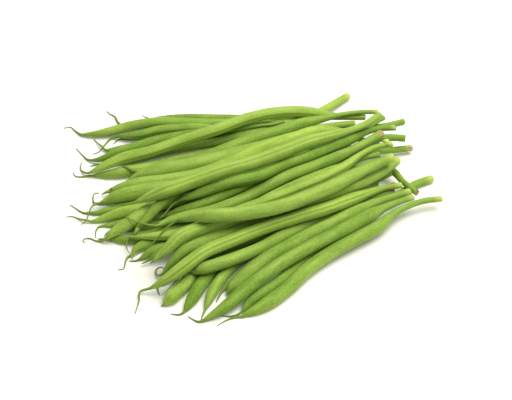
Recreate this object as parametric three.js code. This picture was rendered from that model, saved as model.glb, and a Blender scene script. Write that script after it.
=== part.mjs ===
// Green bean bundle: a loose heap of fine green beans lying on a flat surface.
// Millimetres, +Z up, +X along the beans from their tail tips to their stem ends.
// The group's origin is at the bottom centre of the heap.
import * as THREE from "three";

// Driving dimensions
const HEAP_HEIGHT = 24; // crown of the heap above the surface
const HEAP_HALF_WIDTH = 76; // half of the heap's width at its middle
const HEAP_SPREAD = -0.25; // change of the half width with each mm towards the stem ends
const HEAP_SKEW = -0.14; // sideways drift of the heap's middle with each mm along it
const GAP = 0.34; // air kept between neighbouring beans
const FLAT_DEPTH = 0.05; // how far a bean's flat underside is pressed in where it lies
const TAIL_TIP = 0.34; // radius of the dry tip of a tail
const TAIL_ROOT = 0.85; // radius of a tail where it leaves the pod
const TAPER = 21; // length over which a pod swells from its tail to its full width
const BLUNT_TAPER = 4; // the same for a pod with a blunt end
const SHOULDER = 20; // length over which a pod narrows to its stem
const STEM = 11; // length of a typical stem beyond the shoulder
const SIDES = 8; // sides of a pod's cross-section
const OVAL = 0.94; // height of a pod's cross-section over its width

// The beans' centre lines are read from a photograph of 512 by 400 pixels, taken from the
// front left and above. Its camera turns each pixel into a sight line through the heap.
const PHOTO = {
  middle: [256, 200], // pixel on the lens axis
  focal: 1636, // pixels
  distance: 900, // mm from the lens to the point under the middle of the heap
  azimuth: -30, // degrees, turned from looking along +Y
  elevation: 40, // degrees above the surface
};
const PIXEL = PHOTO.distance / PHOTO.focal; // mm in one pixel at the heap

// Each bean as pixels of the photograph, the lowest and furthest first. tail runs from its tip
// to the pod, seen is the centre line that shows, hidden is where it goes on below the others,
// and end is where its stem shows again. half is half of the pod's width, stem of the stem's.
// taper and reach are in mm, for a pod that swells faster or slower and for a longer stem, and
// firm holds the hidden stretch to its pixels too.
const BEANS = [
  // the back of the heap
  { half: 4.5, firm: true, tail: [[107, 111.5], [110, 114.5], [114, 116.5], [118, 123]],
    seen: [[121, 126]], hidden: [[160, 129], [200, 129], [240, 128], [285, 124]] },
  { half: 4.3, firm: true, tail: [[142, 114.5], [145, 116.5], [148, 118]], seen: [[152, 120]],
    hidden: [[180, 123], [210, 122.5], [240, 121], [285, 117], [318, 116]] },
  { half: 4.5, firm: true, tail: [[113.5, 143.5], [118, 139.5]],
    seen: [[130, 139], [145, 137.5], [165, 135.5]],
    hidden: [[200, 136], [240, 135], [280, 131], [310, 126]] },
  { half: 5.3, taper: 28, tail: [[64, 129], [70.5, 127.8], [74, 130], [78, 132.5]],
    seen: [[82, 134], [100, 132.5], [120, 128], [140, 123.5], [160, 121.7], [180, 122], [200, 123]],
    hidden: [[225, 124], [260, 122], [300, 118]] },
  { half: 5, tail: [[93, 153], [97, 151.5], [104, 144], [112, 137]],
    seen: [[116, 136], [140, 134], [160, 129], [180, 126], [200, 124.5]],
    hidden: [[225, 128], [262, 130], [300, 127]] },
  { half: 5, tail: [[94, 139], [98, 143], [102, 147]], seen: [[106, 150], [120, 148], [130, 147]],
    hidden: [[160, 142.5], [200, 137], [250, 130], [300, 123], [335, 118]] },
  { half: 5, stem: 4, tail: [[90, 166], [95, 164.5]],
    seen: [[103, 163.8], [140, 155.5], [180, 146], [220, 137.5], [262, 127.5], [290, 122],
      [310, 116.5], [322, 111], [335, 103], [347, 96]] },
  { half: 5.3, stem: 1.6, reach: 18, tail: [[76, 148], [82, 154], [88, 159]],
    seen: [[92, 159.5], [100, 158.8], [120, 152.5], [140, 146.5], [170, 137], [195, 135], [220, 131]],
    hidden: [[240, 130], [262, 127.5], [287, 123]] },
  { half: 6, tail: [[73.5, 172.5], [74, 175], [77, 176.8], [82, 176.8], [88, 175.8]],
    seen: [[92, 175.5], [110, 174.3], [130, 172]],
    hidden: [[160, 165], [200, 153], [240, 143], [290, 132], [335, 122]] },
  { half: 5.8, tail: [[82, 161.5], [80.5, 165], [81.5, 170], [85, 172]],
    seen: [[89, 172.5], [100, 168.5], [120, 161.5], [140, 155.3], [160, 148.5], [190, 138.5],
      [220, 130.5], [250, 121], [270, 116], [290, 115], [320, 117.5], [340, 117], [365, 116]] },
  // the crown of the heap
  { half: 6, stem: 2.4, reach: 24, tail: [[121, 163.5], [126, 166.5]],
    seen: [[132, 169.5], [147, 171.5], [180, 166], [210, 156], [235, 145.5], [262, 133.5],
      [280, 128], [300, 123], [320, 117.5], [340, 113.5], [377.5, 111.5]] },
  { half: 5, tail: [[125, 181.5], [131, 181.5]],
    seen: [[138, 181], [150, 180], [175, 178.5], [225, 176], [250, 173], [270, 167], [290, 161],
      [310, 153], [330, 144]],
    hidden: [[350, 136]], end: [[380, 128.5], [404, 123]] },
  { half: 7.3, stem: 3.6, taper: 17, tail: [[124.6, 181.6], [126.5, 180.5]],
    seen: [[128.5, 179.5], [140, 175], [160, 170.7], [180, 167], [200, 161.8], [220, 156],
      [240, 151], [260, 146.5], [280, 141], [300, 134], [320, 127.5], [335, 124.5], [354, 123]] },
  { half: 5, tail: [[99, 193], [96, 193], [93, 200], [94.5, 203.5]], seen: [[99, 204]],
    hidden: [[130, 199], [170, 191], [220, 177], [270, 160], [320, 143], [357, 130]],
    end: [[375, 122], [383, 117.5]] },
  { half: 6.4, tail: [[101.5, 194], [103, 193]],
    seen: [[105, 192], [120, 188.5], [140, 186], [170, 182], [200, 176], [220, 169.5], [240, 160],
      [260, 151], [280, 143.5], [300, 136.5], [315, 133], [335, 132.5], [350, 136],
      [362, 139.5], [374, 142.5]] },
  { half: 4.5, tail: [[70, 205], [75, 208], [80, 211.5], [85, 213.5]],
    seen: [[88, 213.5], [95, 213.5], [115, 208.5]],
    hidden: [[150, 201], [200, 189], [250, 171], [300, 152], [340, 143]] },
  { half: 7.5, taper: 17, tail: [[81, 223.5], [85, 220.5], [89, 214], [92, 207], [95, 204]],
    seen: [[100, 202.5], [120, 197], [140, 191.5], [158, 187]],
    hidden: [[185, 186.5], [215, 182], [250, 172], [300, 157], [345, 148]] },
  { half: 6.5, tail: [[66.5, 217], [70, 216.3], [75, 217], [80, 219], [85, 220.8]],
    seen: [[92, 221], [100, 219], [120, 212], [140, 208], [150, 204.5]],
    hidden: [[180, 197], [220, 188], [260, 176], [300, 163], [340, 151]] },
  { half: 5, tail: [[96, 238], [95.5, 234], [96.5, 230], [99, 227]],
    seen: [[103, 226], [120, 224], [145, 219]],
    hidden: [[180, 207], [230, 192], [280, 175], [330, 157], [350, 151]] },
  { half: 4.5, tail: [[104, 236.5], [106, 233], [109, 230]], seen: [],
    hidden: [[115, 227], [150, 215], [200, 200], [250, 186], [300, 171], [350, 153]] },
  { half: 5.5, tail: [[98, 238.5], [101, 239]], seen: [[105, 239], [115, 239], [132, 240.5]],
    hidden: [[170, 228], [210, 209], [255, 192], [300, 177], [345, 161]] },
  { half: 6.3, taper: 15, tail: [[85, 242.5], [83, 241], [84, 239], [88, 238], [97, 240.5], [102, 240.3]],
    seen: [[105, 239.5], [115, 233.5], [125, 228.5], [140, 219], [150, 212.5], [170, 203.5]],
    hidden: [[200, 199], [240, 193], [290, 180], [335, 163], [352, 155]] },
  { half: 5, stem: 3.4, tail: [[133, 237.5], [133.5, 236]],
    seen: [[134.5, 234], [138, 228], [145, 221], [155, 214], [165, 208], [178, 201]],
    hidden: [[220, 197], [260, 187], [300, 176], [340, 161]], end: [[380, 152.5], [407.5, 148.5]] },
  { half: 5, stem: 3.6, tail: [[156, 219.5], [159, 218]],
    seen: [[163, 216], [180, 210.5], [200, 206.5], [220, 200], [240, 194.5]],
    hidden: [[270, 184], [300, 171], [340, 152], [365, 142]], end: [[380, 137], [405, 137.5]] },
  { half: 5.3, tail: [[160, 217], [164, 213.5], [168, 208.5], [172, 203]],
    seen: [[177, 199], [200, 193.8], [220, 188], [250, 183.7], [280, 173.5], [300, 166],
      [320, 156], [345, 144], [370, 130], [385, 127.5], [395.5, 127]] },
  { half: 7, stem: 3.5, reach: 21, tail: [[105, 204], [112, 205.5], [118, 204], [125, 203.5]],
    seen: [[135, 201.5], [150, 196.5], [170, 190.3], [200, 179.5], [220, 173.5], [250, 165],
      [280, 157], [310, 147], [330, 139.5], [350, 131], [370, 121.5], [379, 114.5]] },
  { half: 5.5, stem: 4, tail: [[126, 216.5], [130, 219.5], [140, 222.8], [150, 224.5]],
    seen: [[157, 225], [170, 219], [190, 214], [220, 206.3], [240, 200.5], [260, 191.5],
      [290, 179.3], [320, 165.5], [350, 150.7], [370, 139.8], [378, 135]] },
  // the middle of the left end
  { half: 5.7, taper: 12, tail: [[118, 270], [122.5, 269.5], [125.5, 262], [128, 257]],
    seen: [[131.5, 255], [136, 249], [142, 245.5], [150, 242.5]],
    hidden: [[180, 232], [220, 217], [260, 199], [300, 181], [340, 165]],
    end: [[362, 156], [380, 153]] },
  { half: 5.5, taper: 13, tail: [[129, 260.5], [135, 260.3]],
    seen: [[139, 258.5], [145, 254.5], [153, 248.5], [161, 244]],
    hidden: [[200, 226], [250, 206], [300, 186], [350, 168], [385, 160]], end: [[399, 160]] },
  { half: 4.5, taper: 12, tail: [[141.5, 263], [145, 261.5]],
    seen: [[150, 258.5], [157, 252.5], [163, 247.5]],
    hidden: [[200, 232], [250, 214], [300, 195], [345, 178], [380, 169]] },
  { half: 5, stem: 2.8, reach: 15,
    tail: [[133, 259.5], [130, 254], [126.5, 245], [127.5, 240], [130, 237], [134, 236]],
    seen: [[137, 236], [155, 235.5], [175, 233.5], [195, 228], [218, 218], [240, 209], [260, 202],
      [280, 195], [300, 186.5], [320, 178], [340, 168], [360, 154.5], [380, 145], [392, 143.5]] },
  { half: 6.5, blunt: true, tail: [[161, 306], [163, 304.5]],
    seen: [[165, 303], [170, 299], [185, 286], [200, 275]],
    hidden: [[225, 253], [260, 231], [300, 208], [345, 188], [380, 177]] },
  { half: 6.3, taper: 13, tail: [[171, 314], [180, 314.5]],
    seen: [[184, 312], [190, 304], [200, 290], [211, 274.5], [228, 255], [255, 239.5]],
    hidden: [[300, 217], [340, 201], [375, 188]], end: [[394, 181.5]] },
  { half: 5.5, stem: 4, taper: 14, tail: [[201, 321], [203, 315]],
    seen: [[205, 310], [209, 300], [218.5, 280], [232, 266], [245, 250], [270, 236], [285, 229]],
    hidden: [[300, 222], [330, 208], [370, 195], [395, 188.5]], end: [[410, 183], [430, 177]] },
  { half: 5, stem: 3.1, tail: [[160, 295.5], [158.5, 293], [157.5, 289]], seen: [],
    hidden: [[160, 283], [175, 277], [205, 262], [240, 246], [280, 227], [315, 205], [345, 180],
      [378, 163]],
    end: [[391, 169.5], [400, 179], [410, 188], [416, 192.5]] },
  { half: 5.8, tail: [[164, 268], [161, 266.3], [157, 268], [155.5, 271], [159, 275]],
    seen: [[163, 273], [172, 264], [180, 258], [200, 247], [220, 237], [240, 229], [260, 222.5],
      [280, 217]],
    hidden: [[300, 212], [320, 206], [340, 199], [360, 190]], end: [[380, 180], [391, 173.5]] },
  { half: 6.5, stem: 4.5, tail: [[150, 262.5], [151.5, 261.5]],
    seen: [[153, 260.5], [160, 256], [180, 244], [200, 234.5], [220, 226.5], [240, 221], [270, 213],
      [300, 205], [320, 199], [340, 192], [360, 184], [380, 173], [390, 166.5], [397, 160]] },
  { half: 6.7, stem: 4.5,
    tail: [[131, 258], [140, 252], [150, 245], [160, 234], [165, 228.5], [172, 223], [178, 219.5]],
    seen: [[182, 219.5], [200, 219], [220, 217.2], [240, 214], [260, 210.7], [280, 206], [300, 199.5],
      [320, 190.5], [340, 183], [350, 177], [370, 167], [391, 157]] },
  // the front of the heap
  { half: 6, taper: 10, tail: [[163, 296], [170, 289], [176, 282], [183, 275]],
    seen: [[190, 271.5], [210, 267], [230, 260.5], [250, 253.5], [275, 242]],
    hidden: [[300, 229], [320, 220], [340, 211]], end: [[365, 201], [376, 197], [389, 192.5]] },
  { half: 6.3, tail: [[135, 313.5], [137, 307], [139, 300], [140, 291]],
    seen: [[150, 287.5], [160, 283], [180, 272], [200, 258], [220, 247], [240, 237.5], [260, 229.5],
      [300, 217], [320, 211.5], [340, 205.5], [360, 196.5], [380, 188.5], [401, 184.5]] },
  { half: 4.5, tail: [[216, 302], [217.5, 299]], seen: [[222, 290], [226, 284]],
    hidden: [[245, 268], [280, 252], [320, 232], [360, 213]] },
  { half: 6.8, stem: 3.8, reach: 18, blunt: true, tail: [[228, 297], [228, 295]],
    seen: [[229, 292], [240, 279], [260, 262], [280, 249.5], [300, 238], [320, 227.5], [340, 218.5],
      [360, 209], [380, 201], [400, 194], [410, 191]] },
  { half: 5.5, taper: 13, tail: [[221, 316], [232, 317]],
    seen: [[242, 312], [250, 303], [262, 295], [280, 281], [295, 268]],
    hidden: [[310, 254], [330, 236], [350, 219], [380, 197]] },
  { half: 6.5, taper: 27, tail: [[188, 315.5], [193, 318.7], [199, 320.6]],
    seen: [[203, 319.5], [212, 315], [225, 307], [240, 295.5], [260, 280], [280, 266], [300, 254],
      [330, 236], [350, 225], [370, 215], [390, 204.5], [413, 197]] },
  { half: 6.5, stem: 3, reach: 24, tail: [[217, 325], [221, 322.5], [227, 318.7], [237, 315.8]],
    seen: [[241, 316], [258, 309], [281, 294], [300, 274], [320, 258], [340, 245], [360, 232],
      [380, 220], [400, 208], [420, 200.5], [441, 198]] },
];
const STEM_HALF = 3; // pixels, where a bean states no width of its own for the stem

const RINGS = [0, 0.025, 0.06, 0.12, 0.23, 0.35, 0.47, 0.59, 0.7, 0.8, 0.88, 0.94, 1]; // along a pod

// Camera axes and sight lines
const turn = THREE.MathUtils.degToRad(PHOTO.azimuth);
const tilt = THREE.MathUtils.degToRad(PHOTO.elevation);
const BACK = new THREE.Vector3(
  Math.sin(turn) * Math.cos(tilt),
  -Math.cos(turn) * Math.cos(tilt),
  Math.sin(tilt),
);
const RIGHT = new THREE.Vector3(Math.cos(turn), Math.sin(turn), 0);
const UP = new THREE.Vector3().crossVectors(BACK, RIGHT);
const EYE = BACK.clone().multiplyScalar(PHOTO.distance);

function sightLine([u, v]) {
  return BACK.clone()
    .negate()
    .addScaledVector(RIGHT, (u - PHOTO.middle[0]) / PHOTO.focal)
    .addScaledVector(UP, (PHOTO.middle[1] - v) / PHOTO.focal);
}

// Where the heap's top would be above a point of the surface, were it a smooth mound.
function moundHeight(x, y) {
  const half = HEAP_HALF_WIDTH + HEAP_SPREAD * x;
  const across = (y - HEAP_SKEW * x) / half;
  const along = 1 - 0.35 * THREE.MathUtils.smoothstep(Math.abs(x), 50, 105);
  return HEAP_HEIGHT * along * Math.sqrt(Math.max(0, 1 - across * across));
}

// The point on a sight line where a bean of this radius lies just below the mound's skin.
function onMound(pixel, radius) {
  const ray = sightLine(pixel);
  const point = new THREE.Vector3();
  let z = HEAP_HEIGHT / 2;
  for (let i = 0; i < 60; i++) {
    point.copy(EYE).addScaledVector(ray, (z - EYE.z) / ray.z);
    z += 0.4 * (Math.max(radius, moundHeight(point.x, point.y) - radius) - z);
  }
  return point;
}

// Radius of a pod at a distance s from its tail, of its whole length.
function podRadius(bean, s, length) {
  const full = bean.half * PIXEL;
  const stem = (bean.stem ?? STEM_HALF) * PIXEL;
  const reach = bean.reach ?? STEM;
  const root = bean.blunt ? full * 0.5 : TAIL_ROOT;
  const swell = Math.min(1, s / (bean.blunt ? BLUNT_TAPER : (bean.taper ?? TAPER)));
  const narrow = THREE.MathUtils.smoothstep(s, length - reach - SHOULDER, length - reach);
  const pod = root + (full - root) * Math.sin((swell * Math.PI) / 2);
  return pod + (stem - pod) * narrow;
}

// A bean's chain of ring centres, with the radius and the hold of the photograph on each.
function chainOf(bean) {
  const shown = [...bean.seen, ...(bean.hidden ?? []), ...(bean.end ?? [])];
  const line = new THREE.CatmullRomCurve3(
    shown.map(([u, v]) => new THREE.Vector3(u, v, 0)),
    false,
    "centripetal",
  );
  const from = bean.seen.at(-1)?.[0] ?? -Infinity;
  const to = bean.end ? bean.end[0][0] : bean.hidden ? Infinity : from;
  const rings = RINGS.map((f) => {
    const p = line.getPointAt(f);
    const loose = !bean.firm && p.x > from + 8 && p.x < to - 8;
    return { pixel: [p.x, p.y], hold: loose ? HIDDEN_HOLD : SHOWN_HOLD };
  });
  const length = line.getLength() * PIXEL * 1.09;
  const nodes = bean.tail.map((pixel, i) => {
    const share = (i + 0.5) / bean.tail.length;
    return { pixel, hold: SHOWN_HOLD, r: TAIL_TIP + (TAIL_ROOT - TAIL_TIP) * share * share };
  });
  rings.forEach((ring, i) => nodes.push({ ...ring, r: podRadius(bean, RINGS[i] * length, length) }));
  for (const node of nodes) {
    node.ray = sightLine(node.pixel).normalize();
    node.home = onMound(node.pixel, node.r);
  }
  for (let pass = 0; pass < 12; pass++) {
    const height = nodes.map((node) => node.home.z);
    nodes.forEach((node, i) => {
      const before = height[Math.max(0, i - 1)];
      const after = height[Math.min(nodes.length - 1, i + 1)];
      const z = (before + 2 * height[i] + after) / 4;
      node.home.copy(EYE).addScaledVector(node.ray, (z - EYE.z) / node.ray.z);
    });
  }
  for (const node of nodes) node.p = node.home.clone();
  return { nodes };
}

// Nearest points of two segments, as shares along each, in two or three dimensions.
function nearest(a0, a1, b0, b1) {
  const ax = a1.x - a0.x, ay = a1.y - a0.y, az = a1.z - a0.z;
  const bx = b1.x - b0.x, by = b1.y - b0.y, bz = b1.z - b0.z;
  const cx = a0.x - b0.x, cy = a0.y - b0.y, cz = a0.z - b0.z;
  const aa = ax * ax + ay * ay + az * az, bb = bx * bx + by * by + bz * bz;
  const ab = ax * bx + ay * by + az * bz;
  const ac = ax * cx + ay * cy + az * cz, bc = bx * cx + by * cy + bz * cz;
  const det = aa * bb - ab * ab;
  let s = det > 1e-9 ? clamp((ab * bc - bb * ac) / det) : 0.5;
  const t = clamp((ab * s + bc) / bb);
  s = clamp((ab * t - ac) / aa);
  return [s, t];
}
const clamp = (v) => Math.min(1, Math.max(0, v));

const PASSES = 900; // steps in which the heap settles
const SHOWN_HOLD = 0.25; // share of its drift that a stretch in sight gives back in a step
const HIDDEN_HOLD = 0.02; // the same out of sight
const SINK = 0.15; // mm that everything sinks in one step
const LOWEST = OVAL * Math.cos(Math.PI / SIDES); // height of a resting pod's centre over its radius

// Where each node stands in the photograph, and how far from the lens.
function look(node) {
  const x = node.p.x - EYE.x, y = node.p.y - EYE.y, z = node.p.z - EYE.z;
  node.depth = -(x * BACK.x + y * BACK.y + z * BACK.z);
  node.x = (PHOTO.focal * (x * RIGHT.x + y * RIGHT.y + z * RIGHT.z)) / node.depth;
  node.y = (-PHOTO.focal * (x * UP.x + y * UP.y + z * UP.z)) / node.depth;
  node.z = 0;
}

// Stretches of different beans that may overlap in the photograph.
function closePairs(chains) {
  const pairs = [];
  const margin = 5;
  const boxes = chains.map(({ nodes }) =>
    nodes.slice(1).map((b, i) => {
      const a = nodes[i];
      const reach = Math.max(a.r, b.r) / PIXEL + margin;
      return [Math.min(a.x, b.x) - reach, Math.max(a.x, b.x) + reach,
        Math.min(a.y, b.y) - reach, Math.max(a.y, b.y) + reach];
    }),
  );
  for (let i = 0; i < chains.length; i++)
    for (let j = i + 1; j < chains.length; j++)
      boxes[i].forEach((a, m) =>
        boxes[j].forEach((b, n) => {
          if (a[0] > b[1] || b[0] > a[1] || a[2] > b[3] || b[2] > a[3]) return;
          pairs.push([...chains[i].nodes.slice(m, m + 2), ...chains[j].nodes.slice(n, n + 2)]);
        }),
      );
  return pairs;
}

// Moves the point at share s between two nodes.
function push(n0, n1, s, direction, amount) {
  const w0 = 1 - s, w1 = s;
  const scale = amount / (w0 * w0 + w1 * w1);
  n0.p.addScaledVector(direction, scale * w0);
  n1.p.addScaledVector(direction, scale * w1);
  look(n0);
  look(n1);
}

const apart = new THREE.Vector3();

// Parts two stretches that are too close, far0 to far1 lying behind near0 to near1.
function part([far0, far1, near0, near1]) {
  let [s, t] = nearest(far0, far1, near0, near1);
  const mix = (a, b, share) => a + (b - a) * share;
  const x = mix(far0.x, far1.x, s) - mix(near0.x, near1.x, t);
  const y = mix(far0.y, far1.y, s) - mix(near0.y, near1.y, t);
  const need = mix(far0.r, far1.r, s) + mix(near0.r, near1.r, t) + GAP;
  const aside = Math.hypot(x, y) * PIXEL;
  if (aside >= need) return;
  const want = Math.sqrt(need * need - aside * aside);
  const behind = mix(far0.depth, far1.depth, s) - mix(near0.depth, near1.depth, t);
  if (behind < 0.4 * want) {
    const lack = want - behind;
    push(far0, far1, s, BACK, -0.4 * lack);
    push(near0, near1, t, BACK, 0.4 * lack);
    return;
  }
  [s, t] = nearest(far0.p, far1.p, near0.p, near1.p);
  apart.lerpVectors(near0.p, near1.p, t).sub(new THREE.Vector3().lerpVectors(far0.p, far1.p, s));
  const room = mix(far0.r, far1.r, s) + mix(near0.r, near1.r, t) + GAP;
  const distance = apart.length();
  if (distance >= room) return;
  apart.divideScalar(distance);
  push(far0, far1, s, apart, -0.5 * (room - distance));
  push(near0, near1, t, apart, 0.5 * (room - distance));
}

// Keeps a bean's run smooth, draws what the photograph shows to its sight line, and sinks it.
function relax({ nodes }, ease) {
  const moved = nodes.map((node) => node.p.clone().sub(node.home));
  nodes.forEach((node, i) => {
    const before = moved[Math.max(0, i - 1)];
    const after = moved[Math.min(nodes.length - 1, i + 1)];
    const own = moved[i];
    const aim = before.clone().add(after).multiplyScalar(0.5);
    if (i === 0) aim.copy(after);
    if (i === nodes.length - 1) aim.copy(before);
    node.p.addScaledVector(aim.sub(own), 0.35 * ease);
    const offset = node.p.clone().sub(node.home);
    const along = offset.dot(node.ray);
    node.p.addScaledVector(offset.addScaledVector(node.ray, -along), -node.hold * ease);
    node.p.z -= SINK * ease;
  });
}

function settle(chains) {
  let pairs = [];
  for (let pass = 0; pass < PASSES; pass++) {
    const ease = Math.max(0.01, Math.min(1, 3 * (1 - pass / PASSES)) ** 2);
    for (const chain of chains) relax(chain, ease);
    for (const chain of chains) chain.nodes.forEach(look);
    if (pass % 6 === 0) pairs = closePairs(chains);
    for (const pair of pairs) part(pair);
    for (const { nodes } of chains)
      for (const node of nodes) node.p.z = Math.max(node.p.z, node.r * LOWEST - FLAT_DEPTH);
  }
}

const GREEN = { colour: 0x8ab13c, roughness: 0.42 };

// A closed skin of rings along a settled chain, with a cap at the tail's tip and at the cut.
function podGeometry(nodes) {
  const points = nodes.map((node) => node.p);
  const along = points.map((_, i) =>
    points[Math.min(i + 1, points.length - 1)].clone().sub(points[Math.max(i - 1, 0)]).normalize(),
  );
  const side = new THREE.Vector3();
  const rings = [];
  for (let i = nodes.length - 1; i >= 0; i--) {
    if (i === nodes.length - 1) side.crossVectors(along[i], new THREE.Vector3(0, 0, 1));
    side.addScaledVector(along[i], -side.dot(along[i])).normalize();
    const top = new THREE.Vector3().crossVectors(side, along[i]);
    const ring = [];
    for (let k = 0; k < SIDES; k++) {
      const angle = ((k + 0.5) * 2 * Math.PI) / SIDES;
      const vertex = points[i].clone();
      vertex.addScaledVector(side, nodes[i].r * Math.cos(angle));
      vertex.addScaledVector(top, nodes[i].r * OVAL * Math.sin(angle));
      vertex.z = Math.max(0, vertex.z);
      ring.push(vertex);
    }
    rings.unshift(ring);
  }
  const faces = [];
  const last = rings.length - 1;
  for (let k = 0; k < SIDES; k++) {
    const n = (k + 1) % SIDES;
    for (let i = 0; i < last; i++) {
      faces.push(rings[i][k], rings[i + 1][k], rings[i + 1][n]);
      faces.push(rings[i][k], rings[i + 1][n], rings[i][n]);
    }
    faces.push(points[0], rings[0][k], rings[0][n]);
    faces.push(points[last], rings[last][n], rings[last][k]);
  }
  const geometry = new THREE.BufferGeometry();
  geometry.setAttribute("position", new THREE.Float32BufferAttribute(faces.flatMap((v) => v.toArray()), 3));
  geometry.computeVertexNormals();
  return geometry;
}

const chains = BEANS.map(chainOf);
settle(chains);
const heap = new THREE.Group();
chains.forEach(({ nodes }, i) => {
  const material = new THREE.MeshStandardMaterial({ color: GREEN.colour, roughness: GREEN.roughness });
  const bean = new THREE.Mesh(podGeometry(nodes), material);
  bean.name = "bean_" + String(i + 1).padStart(2, "0");
  heap.add(bean);
});
const box = new THREE.Box3().setFromObject(heap);
heap.position.set(-(box.min.x + box.max.x) / 2, -(box.min.y + box.max.y) / 2, -box.min.z);
const bundle = new THREE.Group().add(heap);

export default bundle;
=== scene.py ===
"""A loose heap of fine green beans on a pale surface. Metres, +Z up, +X towards the stem ends."""

import math

import bpy
import numpy as np
from mathutils import Matrix, Vector
from mathutils.bvhtree import BVHTree


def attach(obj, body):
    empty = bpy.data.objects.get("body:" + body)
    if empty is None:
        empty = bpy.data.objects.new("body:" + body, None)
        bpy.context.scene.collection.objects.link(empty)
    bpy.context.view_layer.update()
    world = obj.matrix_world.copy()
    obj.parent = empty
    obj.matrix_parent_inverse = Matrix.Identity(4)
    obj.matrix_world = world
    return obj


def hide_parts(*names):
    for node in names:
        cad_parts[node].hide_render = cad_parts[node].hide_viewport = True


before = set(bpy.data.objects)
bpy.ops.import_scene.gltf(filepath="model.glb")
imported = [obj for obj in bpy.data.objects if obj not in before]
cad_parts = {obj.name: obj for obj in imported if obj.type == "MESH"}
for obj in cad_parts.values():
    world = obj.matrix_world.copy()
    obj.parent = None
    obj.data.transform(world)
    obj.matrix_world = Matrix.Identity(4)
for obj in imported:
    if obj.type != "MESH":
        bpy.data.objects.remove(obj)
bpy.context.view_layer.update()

MM = 0.001

# The photograph: 512 by 400 pixels, from the front left and above
PHOTO_WIDTH = 512  # pixels
FOCAL = 1636  # pixels
SENSOR = 36  # mm
DISTANCE = 900 * MM  # from the lens to the point it aims at
AZIMUTH = math.radians(-30)
ELEVATION = math.radians(40)
AIM = Vector((-5.44, -16.9, 0)) * MM

# A pod's rings
STEP = 1.5 * MM  # between the rings of a pod
TAIL_STEP = 0.7 * MM  # between the rings of its tail
OVAL = 0.94  # height of a cross-section over its width, as in the solids
SOLID_SIDES = 8  # points of a solid's ring
TAIL_RADIUS = 0.95 * MM  # below this a pod counts as its tail
TAIL_END = 0.6  # a dried tail's width at its tip over the solid's
TAIL_POINT = 0.6  # length of the point that closes a tail, over its radius there
THINNEST = 0.9  # the smallest radius of a pod over that of its solid
WIDTH_EASE = 0.6  # how much of the solid's taper a ring carries on to the next
ROUND_SIDES = 24  # evenly spaced points of a ring
SEAM_POINTS = 5  # further points on each side of each of the two seams
SEAM_REACH = 2.0 * MM  # how far those spread from the seam

# Relief of the skin
GROOVE_HALF = 0.6 * MM  # half width of the groove that the front seam lies in
LIP_PLACE = 1.15 * MM  # from the seam to the crest of the lip beside it
LIP_HALF = 0.5 * MM
LIP_HEIGHT = 0.5  # over the groove's depth
RELIEF_FADE = 0.6  # over a pod's radius: how far it widens from its tail till the relief is full
BACK_RIDGE = 0.09 * MM  # height of the plain rib along the other seam
BACK_HALF = 0.5 * MM
FIRST_SEED = (14, 20)  # mm from where the pod starts
SEED_PITCH = 10 * MM  # between the seeds
PITCH_CHANGE = (0.8, 1.2)  # how much that differs
SEED_SWELL = 0.018  # how much a seed swells the pod
SWELL_CHANGE = (0.4, 1.2)  # how much its swelling differs
SEED_HALF = 0.32 * SEED_PITCH  # half length of a swelling
STALK_CLEAR = 28 * MM  # no seeds this close to the stem's end
FLOOR_CLEAR = 0.02 * MM  # a skin comes no lower than this

# How each bean differs. Lightness runs from -1 to 1. It is partly the bean's own tone and partly painted
# shade, lower for beans that lie in the shade of the heap.
# Warmth and dryness run from 0 to 1. A seam's angle is counted in degrees from the side that faces the
# front, downwards.
LIGHTNESS = {
    1: -0.3, 2: -0.4, 3: -0.5, 4: 0.1, 5: -0.2, 6: -0.3, 7: 0.2, 8: -0.5, 9: 0.1, 10: 0.35,
    11: 0.0, 12: -0.7, 13: 0.45, 14: -0.3, 15: 0.3, 16: -0.3, 17: 0.1, 18: 0.15, 19: 0.0, 20: -0.3,
    21: -0.5, 22: 0.3, 23: -0.3, 24: -0.6, 25: -0.6, 26: 0.35, 27: 0.0, 28: 0.0, 29: -0.3, 30: -0.5,
    31: 0.25, 32: 0.35, 33: -0.75, 34: 0.0, 35: -0.5, 36: -0.1, 37: 0.1, 38: 0.2, 39: 0.1, 40: 0.3,
    41: -0.6, 42: -0.25, 43: -0.7, 44: -0.45, 45: -0.25,
}
WARMTH = {
    7: 0.8, 10: 0.3, 11: 0, 13: 0, 15: 0.65, 18: 0.5, 22: 0.2, 25: 0, 26: 0.12, 31: 0.35, 32: 0.3,
    33: 0.2, 38: 0, 40: 0.2, 45: 0.15,
}
PLAIN_WARMTH = 0.05
WARM_FROM = {7: 110 * MM, 15: 62 * MM}  # a pod that is plain green before this distance from its tail
WARM_FADE = 8 * MM
SEAM_ANGLE = {
    4: 70, 5: 40, 10: 38, 11: 75, 13: 65, 15: 48, 18: 50, 25: 60, 26: -22, 27: 80, 31: 30,
    36: 60, 37: -30, 38: -75, 39: 75, 40: -5, 42: -70, 44: 85, 45: 80,
}
OTHER_SEAMS = (60, 140)  # on the other beans, in degrees, upwards or downwards
SEAM_DEPTH = {10: 0.13, 15: 0.15, 18: 0.12, 26: 0.15, 31: 0.11, 37: 0.11, 40: 0.17}  # mm
PLAIN_SEAM_DEPTH = 0.07  # mm
BOLD_SEAM = 0.18 * MM  # a seam this deep would show its thread and lips in full colour
KNOBS = (15, 21, 23, 27, 39)  # stems that end in the dry base of the flower
BROWN_ENDS = (12, 13, 33, 35)  # cuts that have dried brown
ROUND_ENDS = (7, 34)  # stems that end in a rounded tip
PALE_ENDS = (7, 11, 25, 31, 34, 37, 38, 40, 42, 44, 45)  # stems that pale to yellow at the tip
SIDE_STUBS = {31: (4.2, 85)}  # broken side stalks: mm from the stem's end, and degrees from its line
DRY_TAILS = {9: 0.3, 17: 0.5, 27: 0.2, 31: 0.35, 35: 0.6, 36: 0.5}  # how dry they look in the photograph
OTHER_TAILS = (0, 0.5)  # how dry the others are
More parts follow.
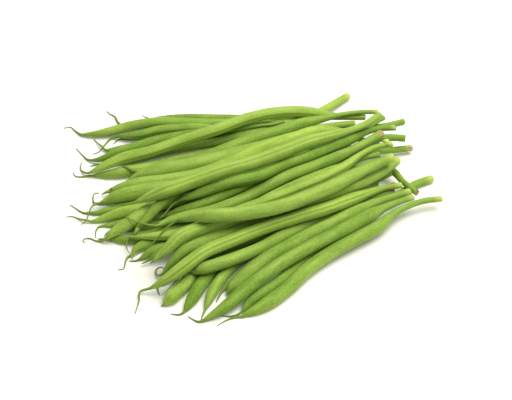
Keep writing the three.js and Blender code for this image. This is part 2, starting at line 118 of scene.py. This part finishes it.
GREEN_TAILS = (22, 26, 28, 33, 38, 39, 40)  # tails that are still fresh

# Where the colours of a pod change, along it
THIN_TAIL = 1.4 * TAIL_RADIUS  # a tail dries where its radius is below this
TAIL_FADE = 0.9 * MM  # it would be dry all through where its radius is below that by this much
TAIL_REACH = 15 * MM  # and nothing dries farther than this past the start of the pod
STALK_FROM = 26 * MM  # from the stem's end
STALK_FADE = 16 * MM
PALE_FROM = 4 * MM
PALE_FADE = 3.5 * MM


def linear(code, alpha=1.0):
    """The linear colour of an sRGB hex code."""
    parts = [int(code[i : i + 2], 16) / 255 for i in (1, 3, 5)]
    return tuple(c / 12.92 if c <= 0.04045 else ((c + 0.055) / 1.055) ** 2.4 for c in parts) + (alpha,)


def add(tree, kind, inputs=None, output=0, **settings):
    """A node of this kind with its settings, values and links. Gives the named output."""
    made = tree.nodes.new(kind)
    for name, value in settings.items():
        setattr(made, name, value)
    for name, value in (inputs or {}).items():
        if isinstance(value, bpy.types.NodeSocket):
            tree.links.new(value, made.inputs[name])
        else:
            made.inputs[name].default_value = value
    return made.outputs[output]


def start_material(name):
    """A new material with nothing but its shader: (material, tree, shader)."""
    material = bpy.data.materials.new(name)
    material.use_nodes = True
    tree = material.node_tree
    shader = next(n for n in tree.nodes if n.type == "BSDF_PRINCIPLED")
    return material, tree, shader


# Real sizes of the skin's pattern
PATCH = (16 * MM, 4 * MM)  # lighter and darker patches, along the pod and round it
STREAK = (9 * MM, 0.9 * MM)  # faint streaks that run along the pod
GRAIN = 1.0 * MM  # the skin's fine grain, a little coarser than life so that it shows

# How light a spot of the skin is, from 0 to 1. The values are the usual level, how far the bean's
# lightness (its own tone and painted shade together) can shift it up or down, and the whole range that
# each pattern adds, half of it up and half down.
USUAL_LEVEL = 0.52
TONE_AND_SHADE_SHIFT = 0.4
PATCH_SHIFT = 1.1
STREAK_SHIFT = 0.3
GRAIN_SHIFT = 0.9

# What lies over the pod's green, in this order: the mark that places it, how much it covers, its colour
OVERLAYS = (
    ("seam", 0.6, "#627f17"),  # the seam's thread is darker
    ("lip", 0.4, "#b0cb58"),  # the lips beside it are paler
    ("stalk", 0.4, "#7f9f3e"),  # the stalk is a more even green
    ("pale_end", 0.5, "#d3de7c"),
)
DRIED_COVER = 0.75  # how much the olive of a dried tail covers
SMOOTHEST = 0.44  # roughness of the skin where its grain is lowest
GRAIN_ROUGHNESS = 0.16  # and what the grain adds


def pod_skin():
    """Fresh bean pod: a thin waxy skin with short down over it, so its gloss is soft and it is palest
    where it faces the light, over moist flesh that lets a little light in."""
    material, tree, shader = start_material("fresh_pod_skin")
    maths, mix, mark = "ShaderNodeMath", "ShaderNodeMix", "ShaderNodeAttribute"
    noise, mapping = "ShaderNodeTexNoise", "ShaderNodeMapping"
    straight = add(tree, mark, output="Vector", attribute_name="straight")
    scale = (1 / PATCH[0], 1 / PATCH[1], 1 / PATCH[1])
    patches = add(tree, mapping, {"Vector": straight, "Scale": scale})
    patch = add(tree, noise, {"Vector": patches, "Scale": 1.0, "Detail": 2.0})
    scale = (1 / STREAK[0], 1 / STREAK[1], 1 / STREAK[1])
    streaks = add(tree, mapping, {"Vector": straight, "Scale": scale})
    streak = add(tree, noise, {"Vector": streaks, "Scale": 1.0, "Detail": 2.0})
    grain = add(tree, noise, {"Vector": straight, "Scale": 1 / GRAIN, "Detail": 2.0})
    # a noise is 0.5 on average, so half of each shift comes off the usual level
    start = USUAL_LEVEL - (PATCH_SHIFT + STREAK_SHIFT + GRAIN_SHIFT) / 2
    # the bean's lightness: partly its own tone, partly painted shade for beans that lie in the heap's
    # shade
    own = add(tree, mark, output="Fac", attribute_name="lightness")
    level = add(tree, maths, {0: own, 1: TONE_AND_SHADE_SHIFT, 2: start}, operation="MULTIPLY_ADD")
    level = add(tree, maths, {0: patch, 1: PATCH_SHIFT, 2: level}, operation="MULTIPLY_ADD")
    level = add(tree, maths, {0: streak, 1: STREAK_SHIFT, 2: level}, operation="MULTIPLY_ADD")
    shifted = {0: grain, 1: GRAIN_SHIFT, 2: level}
    level = add(tree, maths, shifted, operation="MULTIPLY_ADD", use_clamp=True)
    # its green, from fresh green to a warm yellow green
    plain = {0: level, 6: linear("#5f8526"), 7: linear("#9fbb55")}
    green = add(tree, mix, plain, output=2, data_type="RGBA")
    golden = {0: level, 6: linear("#739420"), 7: linear("#b6d15c")}
    yellow = add(tree, mix, golden, output=2, data_type="RGBA")
    warm = add(tree, mark, output="Fac", attribute_name="warmth")
    colour = add(tree, mix, {0: warm, 6: green, 7: yellow}, output=2, data_type="RGBA")
    for name, cover, code in OVERLAYS:
        part = add(tree, mark, output="Fac", attribute_name=name)
        share = add(tree, maths, {0: part, 1: cover}, operation="MULTIPLY")
        colour = add(tree, mix, {0: share, 6: colour, 7: linear(code)}, output=2, data_type="RGBA")
    # the tail dries from green to olive
    dryness = add(tree, mark, output="Fac", attribute_name="dryness")
    dried = {0: dryness, 6: linear("#4c6c22"), 7: linear("#878a4c")}
    dry = add(tree, mix, dried, output=2, data_type="RGBA")
    tail = add(tree, mark, output="Fac", attribute_name="tail")
    share = add(tree, maths, {0: tail, 1: DRIED_COVER}, operation="MULTIPLY")
    colour = add(tree, mix, {0: share, 6: colour, 7: dry}, output=2, data_type="RGBA")
    tree.links.new(colour, shader.inputs["Base Color"])
    rough = {0: grain, 1: GRAIN_ROUGHNESS, 2: SMOOTHEST}
    rough = add(tree, maths, rough, operation="MULTIPLY_ADD")
    tree.links.new(rough, shader.inputs["Roughness"])
    lumps = add(tree, maths, {0: streak, 1: grain}, operation="ADD")
    bump = add(tree, "ShaderNodeBump", {"Height": lumps, "Strength": 0.6, "Distance": 0.16 * MM})
    tree.links.new(bump, shader.inputs["Normal"])
    shader.inputs["Subsurface Weight"].default_value = 0.1
    shader.inputs["Subsurface Radius"].default_value = (0.7, 1.0, 0.25)
    shader.inputs["Subsurface Scale"].default_value = 1.2 * MM
    shader.inputs["IOR"].default_value = 1.42
    shader.inputs["Specular IOR Level"].default_value = 0.3
    shader.inputs["Specular Tint"].default_value = linear("#f6f4c4")
    shader.inputs["Sheen Weight"].default_value = 0.16
    shader.inputs["Sheen Roughness"].default_value = 0.4
    shader.inputs["Sheen Tint"].default_value = linear("#dfe8b4")
    return material


FIBRE = 0.6 * MM  # between the strands in a cut stalk
FIBRE_SHIFT = 0.6  # how far they shift its colour between rim and pith


def cut_stalk(name, rim, heart):
    """Cut bean stalk: a moist, fibrous face with a tough green rim, palest in its pith."""
    material, tree, shader = start_material(name)
    straight = add(tree, "ShaderNodeAttribute", output="Vector", attribute_name="straight")
    fibres = add(tree, "ShaderNodeTexNoise", {"Vector": straight, "Scale": 1 / FIBRE, "Detail": 3.0})
    middle = add(tree, "ShaderNodeAttribute", output="Fac", attribute_name="heart")
    shifted = {0: fibres, 1: FIBRE_SHIFT, 2: middle}
    share = add(tree, "ShaderNodeMath", shifted, operation="MULTIPLY_ADD")
    half = FIBRE_SHIFT / 2
    share = add(tree, "ShaderNodeMath", {0: share, 1: half}, operation="SUBTRACT", use_clamp=True)
    faces = {0: share, 6: linear(rim), 7: linear(heart)}
    colour = add(tree, "ShaderNodeMix", faces, output=2, data_type="RGBA")
    tree.links.new(colour, shader.inputs["Base Color"])
    bump = add(tree, "ShaderNodeBump", {"Height": fibres, "Strength": 0.4, "Distance": 0.2 * MM})
    tree.links.new(bump, shader.inputs["Normal"])
    shader.inputs["Roughness"].default_value = 0.6
    return material


MOTTLE = 1.1 * MM  # across the blotches of a dried flower base
MOTTLE_CONTRAST = 2.4


def dry_flower_base():
    """Dried flower base: papery, creased and matt, mottled from brown to tan."""
    material, tree, shader = start_material("dry_flower_base")
    straight = add(tree, "ShaderNodeAttribute", output="Vector", attribute_name="straight")
    mottle = add(tree, "ShaderNodeTexNoise", {"Vector": straight, "Scale": 1 / MOTTLE, "Detail": 3.0})
    share = {0: mottle, 1: MOTTLE_CONTRAST, 2: 0.5 - MOTTLE_CONTRAST / 2}
    share = add(tree, "ShaderNodeMath", share, operation="MULTIPLY_ADD", use_clamp=True)
    tones = {0: share, 6: linear("#8a7b42"), 7: linear("#cabd84")}
    colour = add(tree, "ShaderNodeMix", tones, output=2, data_type="RGBA")
    tree.links.new(colour, shader.inputs["Base Color"])
    bump = add(tree, "ShaderNodeBump", {"Height": mottle, "Strength": 0.6, "Distance": 0.3 * MM})
    tree.links.new(bump, shader.inputs["Normal"])
    shader.inputs["Roughness"].default_value = 0.8
    return material


CARD_MOTTLE = 25 * MM


def matt_card():
    """White card: matt, with the faintest mottle of its fibres."""
    material, tree, shader = start_material("white_card")
    place = add(tree, "ShaderNodeTexCoord", output="Object")
    fibres = add(tree, "ShaderNodeTexNoise", {"Vector": place, "Scale": 1 / CARD_MOTTLE})
    tones = {0: fibres, 6: linear("#e6e4db"), 7: linear("#ebeae2")}
    colour = add(tree, "ShaderNodeMix", tones, output=2, data_type="RGBA")
    tree.links.new(colour, shader.inputs["Base Color"])
    shader.inputs["Roughness"].default_value = 0.9
    shader.inputs["Emission Color"].default_value = linear("#ffffff")
    shader.inputs["Emission Strength"].default_value = 0.08
    shader.inputs["Specular IOR Level"].default_value = 0.2
    return material


def rings_of(node):
    """A bean's ring centres and radii from its tail to its stem, read from its solid."""
    mesh = node.data
    grid = 0.001 * MM  # points closer than this are one
    places = np.array([v.co for v in mesh.vertices])
    merged, of_vertex = np.unique(np.round(places / grid).astype(int), axis=0, return_inverse=True)
    of_vertex = of_vertex.ravel()
    points = merged * grid
    near = [set() for _ in points]
    for face in mesh.polygons:
        corners = [int(of_vertex[i]) for i in face.vertices]
        for a in corners:
            near[a].update(corners)
    # the middle of each cap touches the points of one ring and itself, and the stem's ring is the wider
    caps = [i for i, around in enumerate(near) if len(around) == SOLID_SIDES + 1]
    layer = {max(caps, key=lambda i: max(np.linalg.norm(points[j] - points[i]) for j in near[i]))}
    seen = set(layer)
    rings = []
    while layer:
        rings.append(points[sorted(layer)])
        layer = set().union(*(near[i] for i in layer)) - seen
        seen |= layer
    rings = rings[1:-1][::-1]
    centres = np.array([ring.mean(axis=0) for ring in rings])
    spread = [((ring - c) ** 2).sum(axis=1).mean() for ring, c in zip(rings, centres)]
    return centres, np.sqrt(2 * np.array(spread) / (1 + OVAL**2))


def smooth_line(centres, radii):
    """The centre line, radius and distance from the tail at close steps, and where the pod starts."""
    reach = np.linalg.norm(np.diff(centres, axis=0), axis=1)
    knots = np.concatenate([[0], np.cumsum(reach)])
    body = knots[radii > TAIL_RADIUS][0]
    tail = np.arange(0, body, TAIL_STEP)
    pod = np.linspace(body, knots[-1], max(2, int((knots[-1] - body) / STEP)))
    at = np.concatenate([tail, pod])
    part = np.clip(np.searchsorted(knots, at, side="right") - 1, 0, len(knots) - 2)
    wide = knots[part + 1] - knots[part]
    t = (at - knots[part]) / wide
    # the four weights of a cubic through two points with the slopes there
    w0, s0 = 2 * t**3 - 3 * t**2 + 1, (t**3 - 2 * t**2 + t) * wide
    w1, s1 = 3 * t**2 - 2 * t**3, (t**3 - t**2) * wide
    bend = np.gradient(centres, knots, axis=0)
    line = w0[:, None] * centres[part] + w1[:, None] * centres[part + 1]
    line += s0[:, None] * bend[part] + s1[:, None] * bend[part + 1]
    slope = WIDTH_EASE * np.gradient(radii, knots)
    slope[0] = slope[-1] = 0
    widths = w0 * radii[part] + w1 * radii[part + 1] + s0 * slope[part] + s1 * slope[part + 1]
    return line, np.maximum(widths, THINNEST * radii.min()), at, body


def carried_frames(line, toward):
    """Two directions across the line at each point, turned as little as the line allows."""
    along = np.gradient(line, axis=0)
    along /= np.linalg.norm(along, axis=1)[:, None]
    middle = len(line) // 2
    across = np.zeros_like(line)
    start = toward - along[middle] * (toward @ along[middle])
    across[middle] = start / np.linalg.norm(start)
    for order in (range(middle + 1, len(line)), range(middle - 1, -1, -1)):
        last = across[middle]
        for i in order:
            last = last - along[i] * (last @ along[i])
            last = last / np.linalg.norm(last)
            across[i] = last
    return along, across, np.cross(along, across)


def gap(a, b):
    """How far two angles are apart."""
    return np.abs((a - b + np.pi) % (2 * np.pi) - np.pi)


def ring_turns(seam, full):
    """Where a ring's points stand: evenly round the pod, and closely at its two seams."""
    even = np.linspace(0, 2 * np.pi, ROUND_SIDES, endpoint=False)
    extra = np.linspace(0, SEAM_REACH / full, SEAM_POINTS + 1)[1:]
    close = np.concatenate([[0], extra, -extra])
    turns = np.concatenate([seam + close, seam + np.pi + close])
    keep = [e for e in even if gap(e, turns).min() > np.pi / ROUND_SIDES]
    return np.sort(np.concatenate([turns % (2 * np.pi), keep]))


def bump_at(distance, half):
    """A smooth bump, 1 where the distance is nought."""
    return np.exp(-((distance / half) ** 2))


def seed_swells(at, body, rng):
    """How much the seeds swell the pod at each ring."""
    swell = np.ones_like(at)
    place = body + rng.uniform(*FIRST_SEED) * MM
    while place < at[-1] - STALK_CLEAR:
        swell += SEED_SWELL * rng.uniform(*SWELL_CHANGE) * bump_at(at - place, SEED_HALF)
        place += SEED_PITCH * rng.uniform(*PITCH_CHANGE)
    return swell


# How a stem ends: rings from its rim to its middle, as a share of its radius and a distance in mm
# past its last ring
CUT = ((0.98, 0.15), (0.92, 0.26), (0.82, 0.28), (0.55, 0.18), (0.25, 0.12))
ROUNDED = ((0.97, 0.6), (0.88, 1.1), (0.7, 1.6), (0.45, 1.9), (0.2, 2.05))
KNOB = ((0.84, 0.3), (0.94, 1.0), (1.02, 1.8), (0.96, 2.6), (0.75, 3.2), (0.4, 3.5), (0.15, 3.5))
SLANT = 0.2  # steepest slope of an end, in each of two directions across its stem
LUMPS = (2, 3, 5, 7)  # how often each wave of an end's outline goes round it
CUT_LUMPS = 0.012  # height of each wave over the radius
KNOB_LUMPS = 0.045


def stem_end(style, lumpy, radius, upward, sideways, turns, along, last, rng):
    """The rings that close a stem past its last ring, set slightly aslant."""
    lean = rng.uniform(-SLANT, SLANT, 2)
    slant = (np.cos(turns) * lean[0] + np.sin(turns) * lean[1]) * radius
    phases = rng.uniform(0, 2 * np.pi, len(LUMPS))
    rings = []
    for share, ahead in style:
        waves = sum(np.cos(k * turns + phase + 2 * share) for k, phase in zip(LUMPS, phases))
        out = radius * share * (1 + lumpy * waves)
        place = last + along * (ahead * MM + slant[:, None] * share)
        rings.append(place + out[:, None] * (upward + sideways))
    return np.array(rings)


SKIN_GAP = 0.06 * MM  # how much nearer a skin stays to its own solid than to another
SKIN_REACH = 0.8 * MM  # a point of a skin stays as it is where no other solid is this near
OWN_REACH = 8 * MM  # every point of a skin is nearer than this to its own solid
SKIN_ROUNDS = 3
DRAWN_IN = 0.5  # of the shortfall that a round makes up, and of the way to the middle at most


def surface_of(nodes):
    """One searchable surface over the solids of these beans."""
    points, faces = [], []
    for node in nodes:
        start = len(points)
        points += [v.co.copy() for v in node.data.vertices]
        faces += [[start + i for i in face.vertices] for face in node.data.polygons]
    return BVHTree.FromPolygons(points, faces)


def height_over(surface, point, reach):
    """How far a point is outside a surface, below nought inside it, or None out of reach."""
    near, normal, _, distance = surface.find_nearest(point, reach)
    if near is None:
        return None
    return distance if (point - near).dot(normal) > 0 else -distance


def pressed(rings, middles, own, others):
    """The rings, drawn in where they come nearer to a neighbour's solid than to their own."""
    rings = rings.copy()
    for row, middle in zip(rings, middles):
        for i in range(len(row)):
            for _ in range(SKIN_ROUNDS):
                point = Vector(row[i])
                away = height_over(others, point, SKIN_REACH)
                if away is None:
                    break
                shortfall = height_over(own, point, OWN_REACH) - away + SKIN_GAP
                if shortfall <= 0:
                    break
                inward = middle - row[i]
                row[i] += inward * DRAWN_IN * min(shortfall / np.linalg.norm(inward), 1)
    return rings


def shell(rings, tip, crown):
    """The points and faces of a closed skin over rings, from a tip to a crown."""
    rows, sides = rings.shape[:2]
    index = np.arange(rows * sides).reshape(rows, sides)
    after = np.roll(index, -1, axis=1)
    quads = np.stack([index[:-1], after[:-1], after[1:], index[1:]], axis=-1).reshape(-1, 4)
    first, last = rows * sides, rows * sides + 1
    faces = quads.tolist()
    faces += [[first, int(b), int(a)] for a, b in zip(index[0], after[0])]
    faces += [[last, int(a), int(b)] for a, b in zip(index[-1], after[-1])]
    return np.concatenate([rings.reshape(-1, 3), [tip, crown]]), faces


def skin_mesh(name, points, faces, finishes):
    """A smooth mesh of these points and faces, with these finishes."""
    mesh = bpy.data.meshes.new(name)
    mesh.from_pydata(points.tolist(), [], faces)
    for finish in finishes:
        mesh.materials.append(finish)
    mesh.polygons.foreach_set("use_smooth", np.ones(len(faces), bool))
    return mesh


def write_marks(mesh, marks):
    """Writes the values that the finishes read, one for each point of the mesh."""
    for key, values in marks.items():
        made = mesh.attributes.new(key, "FLOAT", "POINT")
        made.data.foreach_set("value", values.astype(np.float32))


def add_piece(mesh, node):
    """Puts a finished piece in the place of its bean's solid."""
    piece = bpy.data.objects.new(mesh.name, mesh)
    bpy.context.scene.collection.objects.link(piece)
    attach(piece, "root")
    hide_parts(node.name)


# A side stalk's stub: rings from its foot inside the stem to its tip, as a radius and a height in mm
STUB = (
    (2.0, -0.6), (1.75, 0.4), (1.5, 1.1), (1.55, 1.6), (1.8, 2.1), (1.7, 2.7), (1.1, 3.1), (0.4, 3.25),
)
STUB_GREEN = 0.4  # mm of height, up to which it is green
STUB_PALE = 1.8  # mm of height, from which it is palest
STUB_PALENESS = 1.8  # over that of a pale stem


def side_stub(number, foot, toward, along, node, skin):
    """The pale stub of a side stalk, broken off short, on a stem."""
    turns = np.linspace(0, 2 * np.pi, ROUND_SIDES, endpoint=False)
    flat = np.cross(toward, along)
    spokes = np.cos(turns)[:, None] * flat + np.sin(turns)[:, None] * np.cross(toward, flat)
    rings = np.array([foot + toward * height * MM + spokes * wide * MM for wide, height in STUB])
    points, faces = shell(rings[:, ::-1], rings[0].mean(axis=0), rings[-1].mean(axis=0))
    mesh = skin_mesh(f"side_stub_{number:02d}", points, faces, [skin])
    heights = [height for _, height in STUB]
    paleness = np.interp(heights, (STUB_GREEN, STUB_PALE), (0, STUB_PALENESS))
    paleness = np.append(np.repeat(paleness, ROUND_SIDES), [0, STUB_PALENESS])
    write_marks(mesh, {"pale_end": paleness})
    add_piece(mesh, node)


DRAWS_FROM = 100  # a bean's random draws start from this and its number
GREEN_SKIN, MOIST_CUT, BROWN_CUT, FLOWER_BASE = range(4)  # the order of a pod's finishes


def bean(number, node, neighbours, skins):
    """The pod of one bean over its solid: skin, tail, stalk and the end of the stalk."""
    rng = np.random.default_rng(DRAWS_FROM + number)
    line, widths, at, body = smooth_line(*rings_of(node))
    along, across, other = carried_frames(line, np.array(BACK))
    full = np.median(widths)
    drawn = rng.uniform(*OTHER_SEAMS) * rng.choice([-1, 1])
    seam = math.radians(SEAM_ANGLE.get(number, drawn))
    depth = SEAM_DEPTH.get(number, PLAIN_SEAM_DEPTH) * MM
    turns = ring_turns(seam, full)
    sides = len(turns)

    # the skin, with its seams
    radius = widths * seed_swells(at, body, rng) * np.interp(at, (0, body), (TAIL_END, 1))
    on_pod = np.clip((widths - TAIL_RADIUS) / (RELIEF_FADE * full), 0, 1)
    beside = gap(turns, seam) * full
    groove = bump_at(beside, GROOVE_HALF)
    lips = bump_at(beside - LIP_PLACE, LIP_HALF)
    rib = bump_at(gap(turns, seam + np.pi) * full, BACK_HALF)
    relief = BACK_RIDGE * rib + depth * (LIP_HEIGHT * lips - groove)
    rim = radius[:, None] + on_pod[:, None] * relief[None, :]
    upward = np.cos(turns)[None, :, None] * across[:, None, :]
    sideways = np.sin(turns)[None, :, None] * other[:, None, :]
    skin = line[:, None, :] + rim[:, :, None] * (upward + sideways)

    # the end of its stem
    knob = number in KNOBS
    style = KNOB if knob else ROUNDED if number in ROUND_ENDS else CUT
    lumpy = KNOB_LUMPS if knob else CUT_LUMPS
    caps = stem_end(style, lumpy, radius[-1], upward[-1], sideways[-1], turns, along[-1], line[-1], rng)
    tip = line[0] - along[0] * radius[0] * TAIL_POINT
    crown = line[-1] + along[-1] * style[-1][1] * MM
    rings = np.concatenate([skin, caps])
    middles = np.concatenate([line, caps.mean(axis=1)])
    rings = pressed(rings, middles, surface_of([node]), surface_of(neighbours))
    points, faces = shell(rings, tip, crown)
    points[:, 2] = np.maximum(points[:, 2], FLOOR_CLEAR)
    mesh = skin_mesh(f"pod_{number:02d}", points, faces, skins)

    # its finish: a flower base starts at the pod's last ring, and a cut past the rim that rounds it off
    rows = len(line) + len(caps)
    finish = MOIST_CUT
    if knob:
        finish = FLOWER_BASE
    elif number in ROUND_ENDS:
        finish = GREEN_SKIN
    elif number in BROWN_ENDS:
        finish = BROWN_CUT
    starts = len(line) - 1 if knob else len(line) + 1
    of_face = np.full(len(faces), GREEN_SKIN)
    of_face[: (rows - 1) * sides][np.repeat(np.arange(rows - 1), sides) >= starts] = finish
    of_face[rows * sides :] = finish
    mesh.polygons.foreach_set("material_index", of_face)

    # what the finishes read: each point's place were the pod straight, and which part it's on
    def spread(values, cap, tip_value, crown_value):
        by_row = np.concatenate([values, np.full(len(caps), cap)])
        return np.concatenate([np.repeat(by_row, sides), [tip_value, crown_value]])

    def across_rings(values):
        by_point = np.concatenate([np.outer(on_pod, values).ravel(), np.zeros(len(caps) * sides)])
        return np.concatenate([by_point, [0, 0]])

    length = at[-1]
    ways = np.concatenate([np.tile(turns, rows), [0, 0]])
    cap_radii = np.outer([share * radius[-1] for share, _ in style], np.ones(sides))
    out = np.concatenate([rim.ravel(), cap_radii.ravel(), [0, 0]])
    far = spread(at, length, 0, length) + number  # a metre apart, so that no two beans share a pattern
    straight = np.stack([far, out * np.cos(ways), out * np.sin(ways)], axis=-1)
    warm = np.full(len(at), float(WARMTH.get(number, PLAIN_WARMTH)))
    if number in WARM_FROM:
        warm *= 1 / (1 + np.exp((WARM_FROM[number] - at) / WARM_FADE))
    thin = np.clip((THIN_TAIL - widths) / TAIL_FADE, 0, 1) * (at < body + TAIL_REACH)
    stalk = np.clip((at - (length - STALK_FROM)) / STALK_FADE, 0, 1)
    pale = np.clip((at - (length - PALE_FROM)) / PALE_FADE, 0, 1) * (number in PALE_ENDS)
    dryness = 0.0 if number in GREEN_TAILS else DRY_TAILS.get(number, rng.uniform(*OTHER_TAILS))
    marks = {
        "lightness": np.full(len(points), LIGHTNESS[number]),
        "warmth": spread(warm, warm[-1], warm[0], warm[-1]),
        "dryness": np.full(len(points), dryness),
        "seam": across_rings(groove * depth / BOLD_SEAM),
        "lip": across_rings(lips * depth / BOLD_SEAM),
        "tail": spread(thin, 0, 1, 0),
        "stalk": spread(stalk, 1, 0, 1),
        "pale_end": spread(pale, pale[-1], 0, pale[-1]),
        "heart": spread(np.zeros(len(at)), 0.5, 0, 1),
    }
    write_marks(mesh, marks)
    made = mesh.attributes.new("straight", "FLOAT_VECTOR", "POINT")
    made.data.foreach_set("vector", straight.astype(np.float32).ravel())
    add_piece(mesh, node)
    if number in SIDE_STUBS:
        back, degrees = SIDE_STUBS[number]
        ring = np.searchsorted(at, length - back * MM)
        out = np.array(UP) - along[ring] * (np.array(UP) @ along[ring])
        out /= np.linalg.norm(out)
        turned = math.radians(degrees)
        toward = out * math.sin(turned) - along[ring] * math.cos(turned)
        side_stub(number, line[ring], toward, along[ring], node, skins[0])


# Camera
RIGHT = Vector((math.cos(AZIMUTH), math.sin(AZIMUTH), 0))
BACK = Vector((
    math.sin(AZIMUTH) * math.cos(ELEVATION),
    -math.cos(AZIMUTH) * math.cos(ELEVATION),
    math.sin(ELEVATION),
))
UP = BACK.cross(RIGHT)
lens = bpy.data.cameras.new("camera")
lens.sensor_width = SENSOR
lens.lens = FOCAL / PHOTO_WIDTH * SENSOR
lens.clip_start = 10 * MM
camera = bpy.data.objects.new("camera", lens)
camera.matrix_world = Matrix((RIGHT, UP, BACK)).transposed().to_4x4()
camera.location = AIM + BACK * DISTANCE
bpy.context.scene.collection.objects.link(camera)
bpy.context.scene.camera = camera

# Beans
SKINS = [
    pod_skin(),
    cut_stalk("cut_stalk", "#9db352", "#cfd693"),
    cut_stalk("dried_cut_stalk", "#7f6c3f", "#a3925f"),
    dry_flower_base(),
]
SOLIDS = sorted(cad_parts.items())
for label, solid in SOLIDS:
    bean(int(label.split("_")[1]), solid, [other for _, other in SOLIDS if other is not solid], SKINS)

# Floor
FLOOR_SIZE = 4.0  # metres
corners = [(x * FLOOR_SIZE / 2, y * FLOOR_SIZE / 2, 0) for x, y in ((-1, -1), (1, -1), (1, 1), (-1, 1))]
floor_mesh = bpy.data.meshes.new("floor")
floor_mesh.from_pydata(corners, [], [(0, 1, 2, 3)])
floor_mesh.materials.append(matt_card())
floor = bpy.data.objects.new("floor", floor_mesh)
bpy.context.scene.collection.objects.link(floor)


def panel(name, rightward, backward, height, size, power):
    """A soft square light that faces the heap, placed as the photograph sees it."""
    place = RIGHT * rightward + Vector((-RIGHT.y, RIGHT.x, 0)) * backward + Vector((0, 0, height))
    lamp = bpy.data.lights.new(name, "AREA")
    lamp.shape = "SQUARE"
    lamp.size = size
    lamp.energy = power
    lamp.color = linear("#fffdf6")[:3]
    holder = bpy.data.objects.new(name, lamp)
    holder.location = place
    holder.rotation_euler = (-place).to_track_quat("-Z", "Y").to_euler()
    bpy.context.scene.collection.objects.link(holder)


# Light
SKY = 0.41  # strength of the even light from all round
panel("overhead", rightward=0.5, backward=0.1, height=1.3, size=1.3, power=28)
world = bpy.data.worlds.new("studio")
world.use_nodes = True
air = world.node_tree.nodes["Background"]
air.inputs["Color"].default_value = linear("#ffffff")
air.inputs["Strength"].default_value = SKY
bpy.context.scene.world = world
bpy.context.scene.view_settings.view_transform = "Standard"
